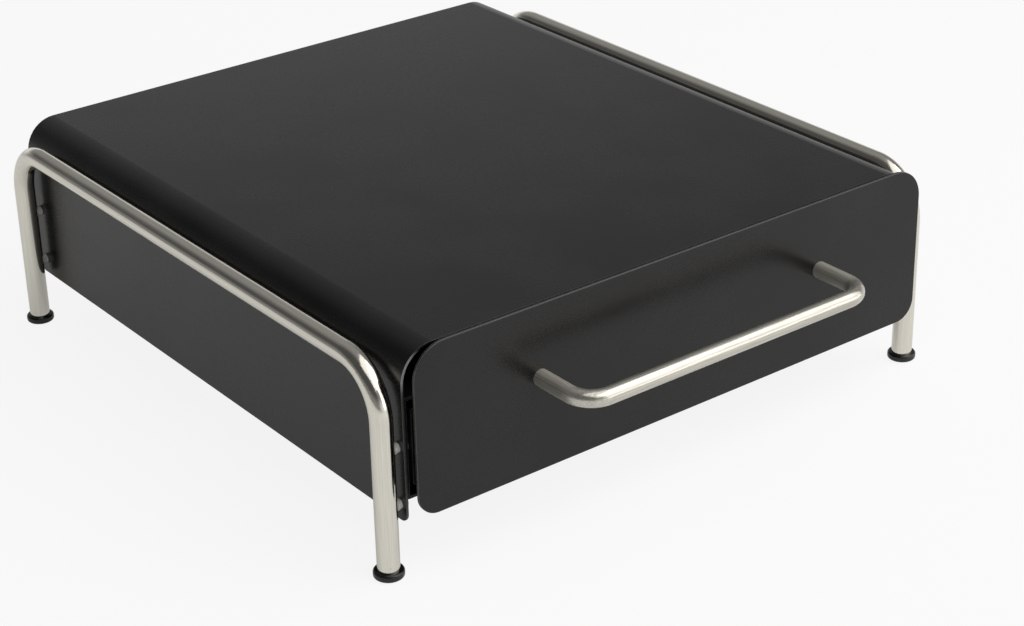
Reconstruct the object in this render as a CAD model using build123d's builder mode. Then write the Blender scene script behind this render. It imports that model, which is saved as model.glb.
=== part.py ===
from build123d import *
import os

# Coffee capsule box: a folded sheet shell on two bent tube rails, with one drawer that runs out
# at the front on two telescopic ball slides.
# Millimetres. X runs to the right seen from the front, Y to the rear, Z up.
# The origin is on the floor, under the middle of the whole box with its handle.

# Overall sizes
overall_width = 305.0
body_depth = 315.0
deck_height = 100.0

# Shell: deck and side panels folded from one sheet
shell_sheet = 1.2
shell_bend_radius = 15.0
shell_screw_margin = 7.5
shell_corner_radius = 4.0
shell_edge_round = 0.3

# Rails: one bent tube on each side, which ends in two legs
tube_diameter = 9.5
tube_wall = 1.0
rail_bend_radius = 22.0
rail_drop = 3.5
rail_gap = 2.0
front_leg_inset = 4.6
rear_leg_inset = 5.8

# Feet: plugs in the open ends of the legs
foot_flange_diameter = 13.0
foot_flange_height = 3.5
foot_edge_radius = 1.2
foot_stem_share = 0.385
foot_stem_chamfer = 0.8
foot_stem_clearance = 0.05

# Screws and flared spacers that hold the rails off the side panels
rail_screw_diameter = 3.0
rail_screw_head_diameter = 5.5
rail_screw_head_height = 1.7
rail_screw_bite = 3.5
lower_screw_gap = 0.25
spacer_tube_end_diameter = 5.2
spacer_panel_end_diameter = 4.4

# Back panel: folded sheet with a flange under the deck and a tab at each lower corner
back_sheet = 1.0
back_flange_depth = 12.0
back_tab_depth = 11.0
back_screw_margin = 5.0
back_side_clearance = 0.3

# Drawer front plate
front_sheet = 1.5
front_height = 74.75
front_side_inset = 1.25
front_rise = 3.25
front_top_radius = 15.0
front_bottom_radius = 9.5
front_standoff = 6.0
front_edge_round = 0.3

# Handle: bent rod, square to the drawer front, held by a screw in each end
handle_rod_diameter = 7.5
handle_pitch = 154.0
handle_reach = 29.0
handle_drop = 32.25
handle_bend_radius = 11.0
handle_screw_diameter = 4.0
handle_screw_head_diameter = 7.0
handle_screw_head_height = 2.6
handle_screw_bite = 8.0
handle_thread_depth = 10.0

# Fastener details
hole_clearance = 0.1
cut_overrun = 1.0
head_round_share = 0.5
recess_width_share = 0.18
recess_length_share = 0.6
recess_depth_share = 0.45

# Slides: three nested channel members with two rows of balls between each pair
slide_height = 45.0
slide_top_gap = 6.0
slide_thickness = 12.7
member_sheet = 1.2
bend_round_share = 0.6
cabinet_lip = 1.2
slide_running_gap = 0.3
cabinet_setback = 2.1
middle_setback = 2.3
slide_front_setback = 0.5
slide_rear_clearance = 0.5
ball_diameter = 4.0
ball_clearance = 0.15
balls_per_row = 8
cage_sheet = 0.6
cage_rim = 0.8
cage_length = 140.0
cage_end_margin = 6.0
bumper_thickness = 5.0
bumper_height = 32.0
bumper_setback = 1.5
bumper_gap = 0.75
bumper_round = 1.0

# Tray: folded sheet box with a hemmed rim
tray_sheet = 1.0
tray_floor_rise = 2.5
tray_rim_drop = 12.8
tray_corner_radius = 2.5
tray_floor_radius = 2.0
tray_hem_height = 6.0
tray_rear_clearance = 12.0

# Rivets between the drawer members and the tray
rivet_diameter = 3.2
rivet_head_diameter = 6.0
rivet_head_height = 1.2
rivet_tail_diameter = 4.6
rivet_tail_height = 0.8
rivets_per_side = 3
rivet_end_inset = 35.0

# Places across the box
rail_x = (overall_width - foot_flange_diameter) / 2
shell_width = 2 * (rail_x - tube_diameter / 2 - rail_gap)
shell_inner_width = shell_width - 2 * shell_sheet
panel_x = shell_inner_width / 2
front_width = shell_width - 2 * front_side_inset
tray_width = shell_inner_width - 2 * slide_thickness

# Places along the box
rear_overhang = max(foot_flange_diameter / 2 - rear_leg_inset, 0)
total_depth = body_depth + handle_reach + handle_rod_diameter / 2 + rear_overhang
shell_rear_y = total_depth / 2 - rear_overhang
face_y = shell_rear_y - body_depth
front_back_y = face_y + front_sheet
shell_front_y = front_back_y + front_standoff
shell_depth = shell_rear_y - shell_front_y
front_leg_y = shell_front_y + front_leg_inset
rear_leg_y = shell_rear_y - rear_leg_inset
back_panel_y = shell_rear_y - back_sheet

# Heights
rail_z = deck_height - rail_drop - tube_diameter / 2
deck_underside = deck_height - shell_sheet
front_top_height = deck_height + front_rise
front_bottom_height = front_top_height - front_height
handle_height = front_top_height - handle_drop
slide_z = deck_height - shell_bend_radius - slide_top_gap - slide_height / 2
slide_bottom = slide_z - slide_height / 2
lower_screw_height = slide_bottom - rail_screw_head_diameter / 2 - lower_screw_gap
shell_bottom_height = lower_screw_height - shell_screw_margin
foot_stem_length = foot_stem_share * (lower_screw_height - rail_screw_diameter / 2 - foot_flange_height)
back_bottom_height = lower_screw_height - back_screw_margin
back_tab_top = slide_bottom - slide_running_gap

# Slide places: along the box, then across the slide from the side panel, then up from its middle
cabinet_front_y = shell_front_y + slide_front_setback
cabinet_rear_y = back_panel_y - slide_rear_clearance
bumper_rear_y = rear_leg_y - rail_screw_head_diameter / 2 - bumper_gap
bumper_front_y = bumper_rear_y - bumper_thickness
member_rear_y = bumper_front_y - slide_running_gap
drawer_member_front_y = front_back_y + slide_running_gap
cage_middle_y = (cabinet_front_y + member_rear_y) / 2

cabinet_depth = slide_thickness - cabinet_setback
middle_start = member_sheet + rail_screw_head_height + slide_running_gap
middle_end = slide_thickness - middle_setback
outer_cage_start = (member_sheet + middle_start - cage_sheet) / 2
inner_cage_start = middle_start + member_sheet + slide_running_gap
drawer_member_start = inner_cage_start + cage_sheet + slide_running_gap
outer_ball_across = (middle_start + middle_end) / 2
inner_ball_across = (drawer_member_start + middle_end) / 2

ball_gap = ball_diameter + 2 * ball_clearance
middle_height = slide_height - 2 * (member_sheet + ball_gap)
drawer_member_height = middle_height - 2 * (member_sheet + ball_gap)
outer_ball_up = (middle_height + ball_gap) / 2
inner_ball_up = (drawer_member_height + ball_gap) / 2

# Start of the cage, place of the balls across and place of the balls up, for each set of balls
ball_stages = {
    "outer": (outer_cage_start, outer_ball_across, outer_ball_up),
    "inner": (inner_cage_start, inner_ball_across, inner_ball_up),
}
ball_pitch = (cage_length - 2 * cage_end_margin) / (balls_per_row - 1)
ball_places = [
    cage_middle_y - cage_length / 2 + cage_end_margin + i * ball_pitch for i in range(balls_per_row)
]
rivet_pitch = (member_rear_y - drawer_member_front_y - 2 * rivet_end_inset) / (rivets_per_side - 1)
rivet_places = [drawer_member_front_y + rivet_end_inset + i * rivet_pitch for i in range(rivets_per_side)]

# Tray places
tray_rear_y = back_panel_y - tray_rear_clearance
tray_depth = tray_rear_y - front_back_y
tray_middle_y = (tray_rear_y + front_back_y) / 2
tray_floor_height = front_bottom_height + tray_floor_rise
tray_rim_height = deck_underside - tray_rim_drop
tray_height = tray_rim_height - tray_floor_height

sides = {"left": -1, "right": 1}
leg_places = {"front": front_leg_y, "rear": rear_leg_y}
screw_heights = {"lower": lower_screw_height, "upper": slide_z}
seated = (Align.CENTER, Align.CENTER, Align.MIN)
hanging = (Align.CENTER, Align.CENTER, Align.MAX)

os.makedirs("parts", exist_ok=True)


def finish_piece(piece, name):
    """Label a finished piece and write it out."""
    piece.label = name
    export_step(piece, f"parts/{name}.step")


def outward_plane(side, x, y, z):
    """A plane whose normal points out of the box on the given side."""
    return Plane(origin=(side * x, y, z), x_dir=(0, 1, 0), z_dir=(side, 0, 0))


def slide_plane(side, y):
    """Cross-section of a slide: first axis inward from the side panel, second axis up."""
    return Plane(origin=(side * panel_x, y, slide_z), x_dir=(-side, 0, 0), z_dir=(0, side, 0))


def pan_head_screw(shank_diameter, shank_length, head_diameter, head_height):
    """A screw along +Z: the head lies below the plane z = 0, with a cross recess."""
    with BuildPart() as screw:
        with BuildSketch():
            Circle(head_diameter / 2)
        extrude(amount=-head_height)
        fillet(screw.edges().group_by(Axis.Z)[0], head_height * head_round_share)
        with BuildSketch(Plane.XY.offset(-head_height)):
            Rectangle(head_diameter * recess_length_share, head_diameter * recess_width_share)
            Rectangle(head_diameter * recess_width_share, head_diameter * recess_length_share)
        extrude(amount=head_height * recess_depth_share, mode=Mode.SUBTRACT)
        with BuildSketch():
            Circle(shank_diameter / 2)
        extrude(amount=shank_length)
    return screw.part


def channel_section(plane, start, end, height, sheet, web_at_end=False, lip=0):
    """A channel between two distances from the side panel, with its web at one of them."""
    middle = (start + end) / 2
    web_middle = end - sheet / 2 if web_at_end else start + sheet / 2
    with BuildSketch(plane) as section:
        with Locations((middle, 0)):
            Rectangle(end - start, height)
        fillet(section.vertices().group_by(Axis.X)[-1 if web_at_end else 0], sheet * bend_round_share)
        with Locations((middle, 0)):
            Rectangle(end - start, height - 2 * (sheet + lip), mode=Mode.SUBTRACT)
            Rectangle(end - start - 2 * sheet, height - 2 * sheet, mode=Mode.SUBTRACT)
        with Locations((web_middle, 0)):
            Rectangle(sheet, height - 2 * sheet)
    return section.sketch


# Shell: an inverted U with rounded lower corners, drilled for the rail screws
with BuildPart() as shell:
    with BuildSketch(Plane.XZ.offset(-shell_rear_y)):
        with BuildLine():
            FilletPolyline(
                (-shell_width / 2, shell_bottom_height),
                (-shell_width / 2, deck_height),
                (shell_width / 2, deck_height),
                (shell_width / 2, shell_bottom_height),
                radius=shell_bend_radius,
            )
            offset(amount=shell_sheet, side=Side.RIGHT)
        make_face()
    extrude(amount=shell_depth)
    fillet(shell.edges().filter_by(Axis.X).group_by(Axis.Z)[0], shell_corner_radius)
    fillet(shell.faces().sort_by(Axis.Y)[0].edges(), shell_edge_round)
    with BuildSketch(Plane.YZ):
        for leg_y in leg_places.values():
            for screw_z in screw_heights.values():
                with Locations((leg_y, screw_z)):
                    Circle(rail_screw_diameter / 2 + hole_clearance)
    extrude(amount=overall_width, both=True, mode=Mode.SUBTRACT)
finish_piece(shell.part, "shell")

# Back panel: set between the side panels, with a flange under the deck and two tabs for the lower screws
with BuildPart() as back_panel:
    with BuildSketch(Plane.XZ.offset(-shell_rear_y)) as outline:
        with Locations((0, (back_bottom_height + deck_underside) / 2)):
            Rectangle(shell_inner_width - 2 * back_side_clearance, deck_underside - back_bottom_height)
        fillet(outline.vertices().group_by(Axis.Y)[-1], shell_bend_radius)
    extrude(amount=back_sheet)
    with BuildSketch(Plane.XZ.offset(-back_panel_y)):
        with Locations((0, deck_underside - back_sheet / 2)):
            Rectangle(shell_inner_width - 2 * shell_bend_radius, back_sheet)
    extrude(amount=back_flange_depth)
    with BuildSketch(Plane.XZ.offset(-shell_rear_y)):
        for side in sides.values():
            with Locations((side * (panel_x - back_sheet / 2), (back_bottom_height + back_tab_top) / 2)):
                Rectangle(back_sheet, back_tab_top - back_bottom_height)
    extrude(amount=back_tab_depth)
    with BuildSketch(Plane.YZ):
        with Locations((rear_leg_y, lower_screw_height)):
            Circle(rail_screw_diameter / 2 + hole_clearance)
    extrude(amount=overall_width, both=True, mode=Mode.SUBTRACT)
finish_piece(back_panel.part, "back_panel")

# Rails: one tube on each side, bent into two legs and a top run, drilled on the side of the panel
for side_name, side in sides.items():
    with BuildPart() as rail:
        with BuildLine():
            FilletPolyline(
                (side * rail_x, front_leg_y, foot_flange_height),
                (side * rail_x, front_leg_y, rail_z),
                (side * rail_x, rear_leg_y, rail_z),
                (side * rail_x, rear_leg_y, foot_flange_height),
                radius=rail_bend_radius,
            )
        with BuildSketch(Plane.XY.offset(foot_flange_height)):
            with Locations((side * rail_x, front_leg_y)):
                Circle(tube_diameter / 2)
                Circle(tube_diameter / 2 - tube_wall, mode=Mode.SUBTRACT)
        sweep()
        with BuildSketch(Plane.YZ.offset(side * rail_x)):
            for leg_y in leg_places.values():
                for screw_z in screw_heights.values():
                    with Locations((leg_y, screw_z)):
                        Circle(rail_screw_diameter / 2 + hole_clearance)
        extrude(amount=-side * tube_diameter, mode=Mode.SUBTRACT)
    finish_piece(rail.part, f"{side_name}_rail")

# Feet: a round flange under each leg, with a stem up into the tube
for leg_name, leg_y in leg_places.items():
    for side_name, side in sides.items():
        with BuildPart() as foot:
            with BuildSketch(Plane((side * rail_x, leg_y, 0))):
                Circle(foot_flange_diameter / 2)
            extrude(amount=foot_flange_height)
            fillet(foot.edges().filter_by(GeomType.CIRCLE), foot_edge_radius)
            with BuildSketch(Plane((side * rail_x, leg_y, foot_flange_height))):
                Circle(tube_diameter / 2 - tube_wall - foot_stem_clearance)
            extrude(amount=foot_stem_length)
            chamfer(foot.edges().group_by(Axis.Z)[-1], foot_stem_chamfer)
        finish_piece(foot.part, f"{leg_name}_{side_name}_foot")

# Rail spacers: flared sleeves between the side panels and the legs
with BuildPart() as rail_spacers:
    for side in sides.values():
        for leg_y in leg_places.values():
            for screw_z in screw_heights.values():
                with Locations(outward_plane(side, shell_width / 2, leg_y, screw_z)):
                    Cone(
                        spacer_panel_end_diameter / 2, spacer_tube_end_diameter / 2, rail_gap, align=seated
                    )
                    Cylinder(
                        rail_screw_diameter / 2 + hole_clearance, rail_gap, align=seated, mode=Mode.SUBTRACT
                    )
finish_piece(rail_spacers.part, "rail_spacers")

# Rail screws: from inside the shell, through what they clamp and the spacer, into the tube
screw_tip_x = rail_x - tube_diameter / 2 + rail_screw_bite
clamped_sheets = {
    ("front", "lower"): 0,
    ("rear", "lower"): back_sheet,
    ("front", "upper"): member_sheet,
    ("rear", "upper"): member_sheet,
}
rail_screw_shapes = {
    place: pan_head_screw(
        rail_screw_diameter, screw_tip_x - panel_x + sheet, rail_screw_head_diameter, rail_screw_head_height
    )
    for place, sheet in clamped_sheets.items()
}
with BuildPart() as rail_screws:
    for side in sides.values():
        for (leg_name, height_name), sheet in clamped_sheets.items():
            head_x = panel_x - sheet
            with Locations(outward_plane(side, head_x, leg_places[leg_name], screw_heights[height_name])):
                add(rail_screw_shapes[leg_name, height_name])
finish_piece(rail_screws.part, "rail_screws")

# Cabinet members: the outer channels, held by the upper rail screws
for side_name, side in sides.items():
    with BuildPart() as cabinet_member:
        extrude(
            channel_section(
                slide_plane(side, cabinet_front_y),
                0,
                cabinet_depth,
                slide_height,
                member_sheet,
                lip=cabinet_lip,
            ),
            amount=side * (cabinet_rear_y - cabinet_front_y),
        )
        with BuildSketch(Plane.YZ):
            for leg_y in leg_places.values():
                with Locations((leg_y, slide_z)):
                    Circle(rail_screw_diameter / 2 + hole_clearance)
        extrude(amount=side * overall_width, mode=Mode.SUBTRACT)
    finish_piece(cabinet_member.part, f"{side_name}_cabinet_member")

# Slide bumpers: rubber blocks that stop the middle and drawer members when the drawer is shut
for side_name, side in sides.items():
    with BuildPart() as slide_bumper:
        with BuildSketch(slide_plane(side, bumper_front_y)):
            with Locations(((member_sheet + slide_thickness - bumper_setback) / 2, 0)):
                Rectangle(slide_thickness - bumper_setback - member_sheet, bumper_height)
        extrude(amount=side * bumper_thickness)
        fillet(slide_bumper.edges().filter_by(Axis.Y), bumper_round)
    finish_piece(slide_bumper.part, f"{side_name}_slide_bumper")

# Middle members: they run out half as far as the drawer
for side_name, side in sides.items():
    with BuildPart() as middle_member:
        extrude(
            channel_section(
                slide_plane(side, cabinet_front_y), middle_start, middle_end, middle_height, member_sheet
            ),
            amount=side * (member_rear_y - cabinet_front_y),
        )
    finish_piece(middle_member.part, f"{side_name}_middle_member")

# Drawer members: the inner channels, riveted to the sides of the tray
for side_name, side in sides.items():
    with BuildPart() as drawer_member:
        extrude(
            channel_section(
                slide_plane(side, drawer_member_front_y),
                drawer_member_start,
                slide_thickness,
                drawer_member_height,
                member_sheet,
                web_at_end=True,
            ),
            amount=side * (member_rear_y - drawer_member_front_y),
        )
        with BuildSketch(Plane.YZ):
            for rivet_y in rivet_places:
                with Locations((rivet_y, slide_z)):
                    Circle(rivet_diameter / 2 + hole_clearance)
        extrude(amount=side * overall_width, mode=Mode.SUBTRACT)
    finish_piece(drawer_member.part, f"{side_name}_drawer_member")

# Ball cages and balls: the outer set runs in the cabinet member, the inner set in the middle member
for side_name, side in sides.items():
    for stage_name, (cage_start, ball_across, ball_up) in ball_stages.items():
        ball_x = side * (panel_x - ball_across)
        with BuildPart() as cage:
            extrude(
                channel_section(
                    slide_plane(side, cage_middle_y - cage_length / 2),
                    cage_start,
                    ball_across + ball_diameter / 2 + cage_rim,
                    2 * ball_up + cage_sheet,
                    cage_sheet,
                ),
                amount=side * cage_length,
            )
            with BuildSketch(Plane.XY.offset(slide_z)):
                for ball_y in ball_places:
                    with Locations((ball_x, ball_y)):
                        Circle(ball_diameter / 2 + ball_clearance)
            extrude(amount=slide_height, both=True, mode=Mode.SUBTRACT)
        finish_piece(cage.part, f"{side_name}_{stage_name}_cage")
        with BuildPart() as balls:
            for ball_y in ball_places:
                with Locations((ball_x, ball_y, slide_z + ball_up), (ball_x, ball_y, slide_z - ball_up)):
                    Sphere(ball_diameter / 2)
        finish_piece(balls.part, f"{side_name}_{stage_name}_balls")

# Drawer front: a flat plate with rounded corners
with BuildPart() as drawer_front:
    with BuildSketch(Plane.XZ.offset(-front_back_y)) as outline:
        with Locations((0, (front_bottom_height + front_top_height) / 2)):
            Rectangle(front_width, front_top_height - front_bottom_height)
        fillet(outline.vertices().group_by(Axis.Y)[-1], front_top_radius)
        fillet(outline.vertices().group_by(Axis.Y)[0], front_bottom_radius)
    extrude(amount=front_sheet)
    fillet(drawer_front.faces().sort_by(Axis.Y)[0].edges(), front_edge_round)
    with BuildSketch(Plane.XZ.offset(-front_back_y)):
        with Locations((-handle_pitch / 2, handle_height), (handle_pitch / 2, handle_height)):
            Circle(handle_screw_diameter / 2 + hole_clearance)
    extrude(amount=front_sheet + cut_overrun, mode=Mode.SUBTRACT)
finish_piece(drawer_front.part, "drawer_front")

# Tray: an open box behind the drawer front, with its rim folded over inside
with BuildPart() as drawer_tray:
    with BuildSketch(Plane.XY.offset(tray_floor_height)):
        with Locations((0, tray_middle_y)):
            RectangleRounded(tray_width, tray_depth, tray_corner_radius)
    extrude(amount=tray_height)
    fillet(drawer_tray.faces().sort_by(Axis.Z)[0].edges(), tray_floor_radius)
    offset(amount=-tray_sheet, openings=drawer_tray.faces().sort_by(Axis.Z)[-1])
    with BuildSketch(Plane.XY.offset(tray_rim_height)):
        with Locations((0, tray_middle_y)):
            RectangleRounded(tray_width - tray_sheet, tray_depth - tray_sheet, tray_corner_radius)
            Rectangle(tray_width - 4 * tray_sheet, tray_depth - 4 * tray_sheet, mode=Mode.SUBTRACT)
    extrude(amount=-tray_hem_height)
    with BuildSketch(Plane.YZ):
        for rivet_y in rivet_places:
            with Locations((rivet_y, slide_z)):
                Circle(rivet_diameter / 2 + hole_clearance)
    extrude(amount=overall_width, both=True, mode=Mode.SUBTRACT)
    with BuildSketch(Plane.XZ.offset(-front_back_y)):
        with Locations((-handle_pitch / 2, handle_height), (handle_pitch / 2, handle_height)):
            Circle(handle_screw_diameter / 2 + hole_clearance)
    extrude(amount=-tray_sheet - cut_overrun, mode=Mode.SUBTRACT)
finish_piece(drawer_tray.part, "drawer_tray")

# Slide rivets: head inside the drawer member, tail inside the tray
with BuildPart() as slide_rivets:
    for side in sides.values():
        for rivet_y in rivet_places:
            with Locations(outward_plane(side, tray_width / 2 + member_sheet, rivet_y, slide_z)):
                Cylinder(rivet_head_diameter / 2, rivet_head_height, align=seated)
                Cylinder(rivet_diameter / 2, member_sheet + tray_sheet, align=hanging)
            with Locations(outward_plane(side, tray_width / 2 - tray_sheet, rivet_y, slide_z)):
                Cylinder(rivet_tail_diameter / 2, rivet_tail_height, align=hanging)
finish_piece(slide_rivets.part, "slide_rivets")

# Handle: a rod bent at both ends, with a threaded hole in each end
with BuildPart() as handle:
    with BuildLine():
        FilletPolyline(
            (-handle_pitch / 2, face_y, handle_height),
            (-handle_pitch / 2, face_y - handle_reach, handle_height),
            (handle_pitch / 2, face_y - handle_reach, handle_height),
            (handle_pitch / 2, face_y, handle_height),
            radius=handle_bend_radius,
        )
    with BuildSketch(Plane.XZ.offset(-face_y)):
        with Locations((-handle_pitch / 2, handle_height)):
            Circle(handle_rod_diameter / 2)
    sweep()
    with BuildSketch(Plane.XZ.offset(-face_y)):
        with Locations((-handle_pitch / 2, handle_height), (handle_pitch / 2, handle_height)):
            Circle(handle_screw_diameter / 2 + hole_clearance)
    extrude(amount=handle_thread_depth, mode=Mode.SUBTRACT)
finish_piece(handle.part, "handle")

# Handle screws: from inside the tray, through its front wall and the drawer front
handle_screw_shape = pan_head_screw(
    handle_screw_diameter,
    tray_sheet + front_sheet + handle_screw_bite,
    handle_screw_head_diameter,
    handle_screw_head_height,
)
with BuildPart() as handle_screws:
    for side in sides.values():
        head_plane = Plane(
            origin=(side * handle_pitch / 2, front_back_y + tray_sheet, handle_height), z_dir=(0, -1, 0)
        )
        with Locations(head_plane):
            add(handle_screw_shape)
finish_piece(handle_screws.part, "handle_screws")
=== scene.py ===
import math

import bpy
from mathutils import Matrix, Vector

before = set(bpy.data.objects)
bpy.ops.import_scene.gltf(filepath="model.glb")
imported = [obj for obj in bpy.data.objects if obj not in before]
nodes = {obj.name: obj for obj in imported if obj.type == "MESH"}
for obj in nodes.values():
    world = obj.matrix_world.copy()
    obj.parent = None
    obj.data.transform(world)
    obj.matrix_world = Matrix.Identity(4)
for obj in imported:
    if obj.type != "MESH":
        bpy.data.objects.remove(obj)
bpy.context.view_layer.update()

scene = bpy.context.scene
MM = 0.001

# The camera that matches the photograph, which is IMAGE_WIDTH pixels wide
IMAGE_WIDTH = 1024
SENSOR_WIDTH = 36.0
FOCAL_PIXELS = 2324.2
CAMERA_PLACE = Vector((-578.4, -784.7, 507.95)) * MM
CAMERA_YAW = math.radians(37.175)
CAMERA_PITCH = math.radians(26.586)
CAMERA_ROLL = math.radians(-1.32)
CLIP_NEAR = 0.01
CLIP_FAR = 100.0

# Stainless steel's warm tint: red and blue as shares of green
STEEL_RED = 1.035
STEEL_BLUE = 0.893

# Edges: the samples by which a material finds them
EDGE_SAMPLES = 6

# Noise: the range that holds nearly all its values, and a narrower one that gives more contrast
WIDE = (0.3, 0.7)
NARROW = (0.35, 0.65)

# Powder coat: sizes and heights in metres
COAT_IOR = 1.43
COAT_CLOUD = 0.045
COAT_GRAIN = 0.0006
COAT_GRAIN_HEIGHT = 0.000001
COAT_GRAIN_ROUGHNESS = 0.02
COAT_PEEL = 0.0016
# Lighter coat edges, partly rubbed wear in patches and partly a painted highlight
RUBBED_AND_HIGHLIT_RADIUS = 0.0006
RUBBED_AND_HIGHLIT_EDGE = (0.80, 0.97)
RUBBED_AND_HIGHLIT_PATCH = 0.004
RUBBED_AND_HIGHLIT_PATCHES = (0.20, 0.46)
RUBBED_AND_HIGHLIT_SHARE = 0.95

# Brushed tube: hairlines so many times as long as wide, in two widths, and dark specks
HAIRLINE_LENGTH = 60.0
HAIRLINE_WIDTHS = (0.00022, 0.0007)
HAIRLINE_TONES = (0.34, 0.66)
FINE_SHARE = 0.5
COARSE_SHARE = 0.5
FINE_HEIGHT = 0.0000015
COARSE_HEIGHT = 0.000030
FIRST_RUN_DEPTH = 0.15
TUBE_CLOUD = 0.012
TUBE_GRAIN_ROUGHNESS = 0.02
SPECK_SIZE = 0.0016
SPECK_LEVELS = (0.80, 0.86)
SPECK_SHARE = 0.7
SPECK_COLOUR = (0.16, 0.15, 0.14, 1.0)

# Plated steel: scuffs drawn out along Y, and rubbed edges
SCUFF_SIZE = 0.0004
SCUFF_STRETCH = (1.0, 6.0, 1.0)
SCUFF_LEVELS = (0.4, 0.7)
SCUFF_ROUGHNESS = 0.08
SCUFF_HEIGHT = 0.000003
PLATED_RADIUS = 0.0003
PLATED_EDGE = (0.80, 0.98)
PLATED_SHARE = 0.4
PLATED_WORN = 0.86

# Zinc's slight warmth
ZINC_WARMTH = 0.01

# Rubber: bloom, mould grain and rubbed rims
RUBBER_SPECULAR = 0.5
BLOOM_SIZE = 0.006
BLOOM_LEVELS = (0.4, 0.7)
MOULD_GRAIN = 0.00035
MOULD_GRAIN_HEIGHT = 0.000008
MOULD_GRAIN_ROUGHNESS = 0.03
RUBBER_RADIUS = 0.0005
RUBBER_EDGE = (0.75, 0.96)
RUBBER_SHARE = 0.3
RUBBER_WORN = 0.05

# The floor and the softboxes, which face LIT_POINT
FLOOR_SIZE = 24.0
FLOOR_DROP = 0.0002
FLOOR_LEVEL = 0.86
SEEN_WHITE = 0.88
MIRRORED_WHITE = 0.35
LIT_POINT = Vector((0, 0, 0.05))
SOFTBOX_TINT = (1.0, 0.985, 0.96)

# The room's light by direction: a letter, where its ramp starts and ends, and the levels there
ROOM_TINT = (1.0, 0.995, 0.99, 1.0)
ROOM_RAMPS = (
    ("Z", 0.10, 0.40, 0.85, 0.265),
    ("X", -0.5, 0.1, 0.28, 1.0),
    ("X", 0.5, 0.75, 1.0, 0.7),
)


class Tree:
    """The node tree of a material or world, with short calls for the nodes that they share."""

    def __init__(self, owner):
        owner.use_nodes = True
        self.tree = owner.node_tree

    def put(self, socket, value):
        """Link a value that is another node's output, or set one that is constant."""
        if isinstance(value, bpy.types.NodeSocket):
            self.tree.links.new(value, socket)
        else:
            socket.default_value = value

    def node(self, kind, inputs, **settings):
        made = self.tree.nodes.new(kind)
        for setting, value in settings.items():
            setattr(made, setting, value)
        for key, value in inputs.items():
            self.put(made.inputs[key], value)
        return made

    def span(self, value, low, high, start=0.0, end=1.0):
        """A smooth step from start to end as the value goes from low to high."""
        made = self.node(
            "ShaderNodeMapRange",
            {"Value": value, "From Min": low, "From Max": high, "To Min": start, "To Max": end},
            interpolation_type="SMOOTHSTEP",
        )
        return made.outputs["Result"]

    def calculate(self, operation, *values):
        made = self.node("ShaderNodeMath", dict(enumerate(values)), operation=operation)
        return made.outputs[0]

    def axis(self, letter, vector):
        return self.node("ShaderNodeSeparateXYZ", {0: vector}).outputs[letter]


class Finish(Tree):
    """One procedural material of the part."""

    def __init__(self, name, **constants):
        self.material = bpy.data.materials.new(name)
        super().__init__(self.material)
        self.shader = self.tree.nodes["Principled BSDF"]
        self.place = self.node("ShaderNodeTexCoord", {}).outputs["Object"]
        for socket, value in constants.items():
            self.shader.inputs[socket.replace("_", " ")].default_value = value

    def noise(self, size, detail=2.0, stretch=(1.0, 1.0, 1.0)):
        """Grey noise whose features are about size across, drawn out by stretch."""
        spread = [1.0 / (size * s) for s in stretch]
        grid = self.node("ShaderNodeMapping", {"Vector": self.place, "Scale": spread})
        made = self.node(
            "ShaderNodeTexNoise", {"Vector": grid.outputs[0], "Scale": 1.0, "Detail": detail}
        )
        return made.outputs["Fac"]

    def mix(self, share, a, b):
        """A mix of two colours, which are inputs 6 and 7 and output 2 of the node."""
        return self.node("ShaderNodeMix", {0: share, 6: a, 7: b}, data_type="RGBA").outputs[2]

    def blend(self, share, a, b):
        """A mix of two grey values, which are inputs 2 and 3 and output 0 of the node."""
        return self.node("ShaderNodeMix", {0: share, 2: a, 3: b}, data_type="FLOAT").outputs[0]

    def facing(self):
        return self.node("ShaderNodeNewGeometry", {}).outputs["Normal"]

    def edges(self, radius, low, high):
        """1 on edges sharper than the radius, 0 on flat faces. Low and high are the cosines between
        the face and its rounded form at which that is reached."""
        rounded = self.node("ShaderNodeBevel", {"Radius": radius}, samples=EDGE_SAMPLES).outputs[0]
        dot = self.node(
            "ShaderNodeVectorMath", {0: rounded, 1: self.facing()}, operation="DOT_PRODUCT"
        )
        return self.span(dot.outputs["Value"], high, low)

    def edge_highlight_share(self, outside, inside, limits):
        """The share of a painted highlight on a sheet's edge faces: from 0 to 1 as the size of the
        normal along Y goes from outside to inside, times its change along each letter in limits."""
        size = self.calculate("ABSOLUTE", self.axis("Y", self.facing()))
        share = self.span(size, outside, inside)
        for letter, *limit in limits:
            along = self.span(self.axis(letter, self.place), *limit)
            share = self.calculate("MULTIPLY", share, along)
        return share

    def roughness(self, broad, smooth, rough, fine, change):
        """From smooth to rough over the broad noise, and by change either way over the fine one."""
        level = self.span(broad, *WIDE, smooth, rough)
        return self.calculate("ADD", level, self.span(fine, *WIDE, -change, change))

    def bump(self, height, distance, strength=1.0, after=None):
        inputs = {"Height": height, "Distance": distance, "Strength": strength}
        if after is not None:
            inputs["Normal"] = after
        return self.node("ShaderNodeBump", inputs).outputs[0]

    def wear(self, colour, roughness, normal):
        for socket, value in (("Base Color", colour), ("Roughness", roughness), ("Normal", normal)):
            self.put(self.shader.inputs[socket], value)
        return self.material


def grey(level, warmth=0.0):
    return (level * (1 + warmth), level, level * (1 - warmth), 1.0)


def steel(level):
    return (level * STEEL_RED, level, level * STEEL_BLUE, 1.0)


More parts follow.
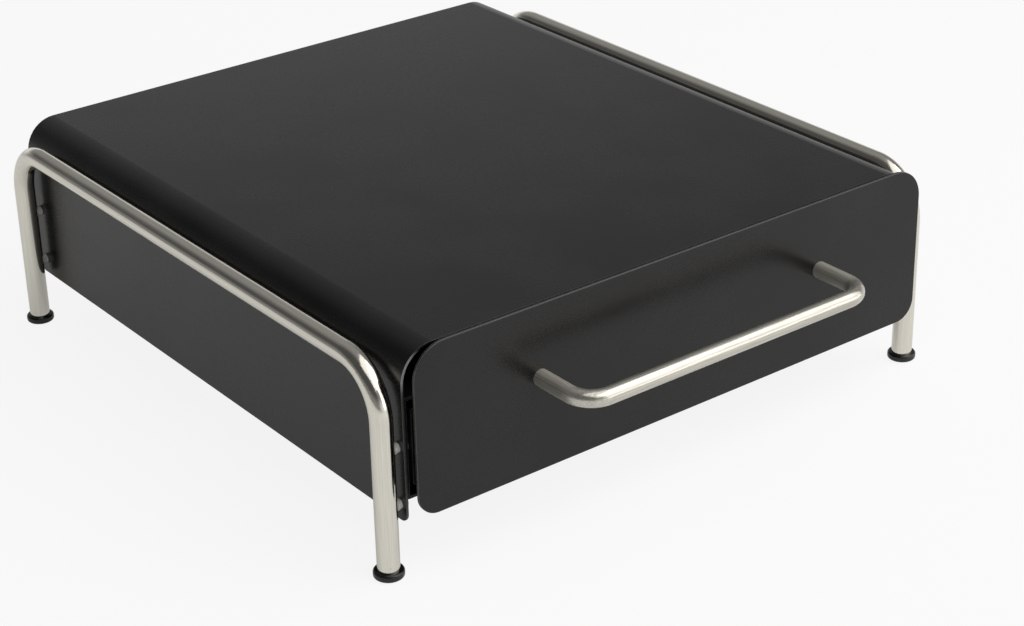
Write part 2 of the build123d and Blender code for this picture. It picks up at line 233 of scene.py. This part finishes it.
def powder_coat(name, dark, pale, worn_and_highlit, smooth, rough, peel, edge_highlight=None):
    """Baked powder coat: a fine orange peel, cloudy colour and thin lighter edges, which are partly
    rubbed wear and partly a painted highlight. An edge highlight gives the colour of a painted
    highlight along the sheet's edge, and the settings that the share of that edge takes."""
    f = Finish(name, IOR=COAT_IOR)
    cloud = f.noise(COAT_CLOUD, detail=4.0)
    grain = f.noise(COAT_GRAIN)
    skin = f.noise(COAT_PEEL, detail=3.0)
    colour = f.mix(f.span(cloud, *NARROW), dark, pale)
    # Lighter edges: partly rubbed wear, partly a painted highlight along the edges
    patches = f.span(f.noise(RUBBED_AND_HIGHLIT_PATCH, detail=4.0), *RUBBED_AND_HIGHLIT_PATCHES)
    rubbed = f.calculate("MULTIPLY", f.edges(RUBBED_AND_HIGHLIT_RADIUS, *RUBBED_AND_HIGHLIT_EDGE), patches)
    colour = f.mix(f.calculate("MULTIPLY", rubbed, RUBBED_AND_HIGHLIT_SHARE), colour, worn_and_highlit)
    # A painted highlight on the sheet's edge faces, lighter than the coat
    if edge_highlight:
        painted_highlight = f.edge_highlight_share(edge_highlight["outside"], edge_highlight["inside"], edge_highlight["limits"])
        colour = f.mix(painted_highlight, colour, edge_highlight["tint"])
    roughness = f.roughness(cloud, smooth, rough, grain, COAT_GRAIN_ROUGHNESS)
    normal = f.bump(grain, COAT_GRAIN_HEIGHT, after=f.bump(skin, peel))
    return f.wear(colour, roughness, normal)


def brushed_tube(
    name, dark, pale, first_run, second_run, letter, start, end, smooth, rough, metal, matt=0.0
):
    """Hairline stainless tube: the hairlines run along the tube, whose bend lies between start and
    end along the letter. The first run is rougher by matt, with shallower coarse hairlines."""
    f = Finish(name, Metallic=metal)
    along = f.axis(letter, f.place)
    turn = f.span(along, start, end)
    fine, coarse = (
        f.blend(turn, f.noise(width, stretch=first_run), f.noise(width, stretch=second_run))
        for width in HAIRLINE_WIDTHS
    )
    cloud = f.noise(TUBE_CLOUD, detail=3.0)
    fine_tone = f.calculate("MULTIPLY", fine, FINE_SHARE)
    coarse_tone = f.calculate("MULTIPLY", coarse, COARSE_SHARE)
    tone = f.calculate("ADD", fine_tone, coarse_tone)
    colour = f.mix(f.span(tone, *HAIRLINE_TONES), dark, pale)
    speck = f.span(f.noise(SPECK_SIZE, detail=1.0), *SPECK_LEVELS)
    colour = f.mix(f.calculate("MULTIPLY", speck, SPECK_SHARE), colour, SPECK_COLOUR)
    roughness = f.roughness(cloud, smooth, rough, fine, TUBE_GRAIN_ROUGHNESS)
    if matt:
        roughness = f.calculate("ADD", roughness, f.span(along, start, end, matt, 0.0))
    depth = f.span(along, start, end, FIRST_RUN_DEPTH, 1.0)
    normal = f.bump(coarse, COARSE_HEIGHT, depth, after=f.bump(fine, FINE_HEIGHT))
    return f.wear(colour, roughness, normal)


def plated(name, dark, pale, smooth, rough, size, metal=1.0):
    """Plated or bare steel of small parts: spangled tone, fine scuffs, brighter rubbed edges."""
    f = Finish(name, Metallic=metal)
    spangle = f.noise(size, detail=3.0)
    scuff = f.noise(SCUFF_SIZE, stretch=SCUFF_STRETCH)
    colour = f.mix(f.span(spangle, *NARROW), dark, pale)
    rubbed = f.calculate("MULTIPLY", f.edges(PLATED_RADIUS, *PLATED_EDGE), PLATED_SHARE)
    colour = f.mix(rubbed, colour, grey(PLATED_WORN, ZINC_WARMTH))
    scuffed = f.span(scuff, *SCUFF_LEVELS, 0.0, SCUFF_ROUGHNESS)
    roughness = f.calculate("ADD", f.span(spangle, *WIDE, smooth, rough), scuffed)
    return f.wear(colour, roughness, f.bump(scuff, SCUFF_HEIGHT))


def moulded(name, dark, pale, smooth, rough):
    """Moulded black rubber: fine mould grain with a faint bloom and rubbed rims."""
    f = Finish(name, Specular_IOR_Level=RUBBER_SPECULAR)
    bloom = f.noise(BLOOM_SIZE, detail=4.0)
    grain = f.noise(MOULD_GRAIN)
    colour = f.mix(f.span(bloom, *BLOOM_LEVELS), dark, pale)
    rubbed = f.calculate("MULTIPLY", f.edges(RUBBER_RADIUS, *RUBBER_EDGE), RUBBER_SHARE)
    colour = f.mix(rubbed, colour, grey(RUBBER_WORN))
    roughness = f.roughness(bloom, smooth, rough, grain, MOULD_GRAIN_ROUGHNESS)
    return f.wear(colour, roughness, f.bump(grain, MOULD_GRAIN_HEIGHT))


# Painted highlights on the sheets' edges. The drawer front's is along the front of its outline. The
# shell's is along its front end around the bends, which is fainter down the side panels and ends at
# the deck.
FRONT_EDGE_HIGHLIGHT = {
    "tint": grey(0.11), "outside": 0.7, "inside": 0.3,
    "limits": (("Y", -140.55 * MM, -140.80 * MM, 0.0, 1.0),),
}
SHELL_EDGE_HIGHLIGHT = {
    "tint": grey(0.45), "outside": 0.3, "inside": 0.7,
    "limits": (
        ("Y", -133.2 * MM, -133.5 * MM, 0.0, 1.0),
        ("Z", 80 * MM, 88 * MM, 0.16, 1.0),
        ("Z", 95 * MM, 98.5 * MM, 1.0, 0.0),
    ),
}
# The black coat's worn colour lightens its edges, partly as rubbed wear and partly as painted
# highlight
BLACK_COAT = {
    "dark": grey(0.0050), "pale": grey(0.0075), "worn_and_highlit": grey(0.115),
    "smooth": 0.24, "rough": 0.29, "peel": 0.000006,
}
ALONG_X = (HAIRLINE_LENGTH, 1.0, 1.0)
ALONG_Y = (1.0, HAIRLINE_LENGTH, 1.0)
ALONG_Z = (1.0, 1.0, HAIRLINE_LENGTH)

coat = powder_coat("black powder coat", **BLACK_COAT)
front_coat = powder_coat("front powder coat", **BLACK_COAT, edge_highlight=FRONT_EDGE_HIGHLIGHT)
shell_coat = powder_coat("shell powder coat", **BLACK_COAT, edge_highlight=SHELL_EDGE_HIGHLIGHT)
tray_coat = powder_coat(
    "tray powder coat", grey(0.010), grey(0.014), grey(0.07),
    smooth=0.42, rough=0.50, peel=0.000012,
)
slide_coat = powder_coat(
    "slide electrocoat", grey(0.008), grey(0.013), grey(0.16),
    smooth=0.34, rough=0.46, peel=0.000004,
)
rail_steel = brushed_tube(
    "rail stainless", steel(0.71), steel(0.81), first_run=ALONG_Z, second_run=ALONG_Y,
    letter="Z", start=72 * MM, end=88 * MM, smooth=0.12, rough=0.17, metal=1.0,
)
handle_steel = brushed_tube(
    "handle stainless", steel(0.49), steel(0.70), first_run=ALONG_Y, second_run=ALONG_X,
    letter="Y", start=-160 * MM, end=-168 * MM, smooth=0.18, rough=0.24, metal=0.80, matt=0.30,
)
zinc = plated(
    "bright zinc", grey(0.76, ZINC_WARMTH), grey(0.90, ZINC_WARMTH),
    smooth=0.26, rough=0.36, size=0.0016, metal=0.45,
)
# Spacer sleeves: bright plating, lifted to a near-white, mostly diffuse colour that is a painted
# glint
sleeve_with_painted_glint = plated(
    "sleeve with painted glint", grey(0.86, ZINC_WARMTH), grey(0.94, ZINC_WARMTH),
    smooth=0.18, rough=0.26, size=0.0016, metal=0.15,
)
cage_steel = plated(
    "cage steel", grey(0.42, 0.02), grey(0.55, 0.02), smooth=0.24, rough=0.36, size=0.0025
)
ball_steel = plated("ball steel", grey(0.64), grey(0.72), smooth=0.04, rough=0.08, size=0.0010)
rubber = moulded("black rubber", grey(0.006), grey(0.012), smooth=0.18, rough=0.27)

finish_of = {
    "shell": shell_coat, "back_panel": coat, "drawer_front": front_coat, "drawer_tray": tray_coat,
    "left_rail": rail_steel, "right_rail": rail_steel, "handle": handle_steel,
}
for ending, finish in (
    ("_foot", rubber), ("_bumper", rubber), ("_member", slide_coat), ("_cage", cage_steel),
    ("_balls", ball_steel), ("_screws", zinc), ("_spacers", sleeve_with_painted_glint), ("_rivets", zinc),
):
    finish_of.update({name: finish for name in nodes if name.endswith(ending)})
for name, piece in nodes.items():
    piece.data.materials.clear()
    piece.data.materials.append(finish_of[name])

# The stage: a pale floor. SEEN_WHITE and MIRRORED_WHITE are the shares of plain white in what the
# camera and reflections see of it. The rest is lit, and keeps the part's soft shadow.
bpy.ops.mesh.primitive_plane_add(size=FLOOR_SIZE, location=(0, 0, -FLOOR_DROP))
floor = bpy.context.object
floor.name = "floor"
paper = bpy.data.materials.new("floor paper")
paper_tree = Tree(paper)
paper_tree.tree.nodes.clear()
ray = paper_tree.node("ShaderNodeLightPath", {}).outputs
seen = paper_tree.calculate("MULTIPLY", ray["Is Camera Ray"], SEEN_WHITE)
white = paper_tree.calculate("MULTIPLY_ADD", ray["Is Glossy Ray"], MIRRORED_WHITE, seen)
diffuse = paper_tree.node("ShaderNodeBsdfDiffuse", {"Color": grey(FLOOR_LEVEL)}).outputs[0]
glow = paper_tree.node("ShaderNodeEmission", {"Color": grey(1.0)}).outputs[0]
surface = paper_tree.node("ShaderNodeMixShader", {0: white, 1: diffuse, 2: glow}).outputs[0]
paper_tree.node("ShaderNodeOutputMaterial", {"Surface": surface})
floor.data.materials.append(paper)

# The room: bright along the horizon, dimmer above it, and darker on the left
world = bpy.data.worlds.new("room")
scene.world = world
room = Tree(world)
toward = room.node("ShaderNodeTexCoord", {}).outputs["Generated"]
levels = [room.span(room.axis(letter, toward), *ramp) for letter, *ramp in ROOM_RAMPS]
strength = levels[0]
for level in levels[1:]:
    strength = room.calculate("MULTIPLY", strength, level)
background = room.tree.nodes["Background"]
room.put(background.inputs["Strength"], strength)
room.put(background.inputs["Color"], ROOM_TINT)


def softbox(name, place, wide, high, power):
    lamp = bpy.data.lights.new(name, "AREA")
    lamp.shape = "RECTANGLE"
    lamp.size, lamp.size_y, lamp.energy, lamp.color = wide, high, power, SOFTBOX_TINT
    box = bpy.data.objects.new(name, lamp)
    scene.collection.objects.link(box)
    box.location = place
    box.rotation_euler = (LIT_POINT - Vector(place)).to_track_quat("-Z", "Y").to_euler()


softbox("front softbox", (1.08, -1.24, 1.14), wide=2.5, high=2.6, power=26.0)
softbox("top softbox", (0.25, -0.72, 1.60), wide=2.4, high=1.8, power=13.0)

# The camera
sideways = Vector((math.cos(CAMERA_YAW), -math.sin(CAMERA_YAW), 0.0))
ahead = Vector((
    math.sin(CAMERA_YAW) * math.cos(CAMERA_PITCH),
    math.cos(CAMERA_YAW) * math.cos(CAMERA_PITCH),
    -math.sin(CAMERA_PITCH),
))
upward = sideways.cross(ahead)
right = math.cos(CAMERA_ROLL) * sideways + math.sin(CAMERA_ROLL) * upward
top = math.cos(CAMERA_ROLL) * upward - math.sin(CAMERA_ROLL) * sideways
turned = Matrix((right, top, -ahead)).transposed().to_4x4()
lens = bpy.data.cameras.new("camera")
lens.sensor_fit = "HORIZONTAL"
lens.sensor_width = SENSOR_WIDTH
lens.lens = FOCAL_PIXELS * SENSOR_WIDTH / IMAGE_WIDTH
lens.clip_start, lens.clip_end = CLIP_NEAR, CLIP_FAR
camera = bpy.data.objects.new("camera", lens)
scene.collection.objects.link(camera)
camera.matrix_world = Matrix.Translation(CAMERA_PLACE) @ turned
scene.camera = camera

scene.view_settings.view_transform = "Standard"
bpy.context.view_layer.update()
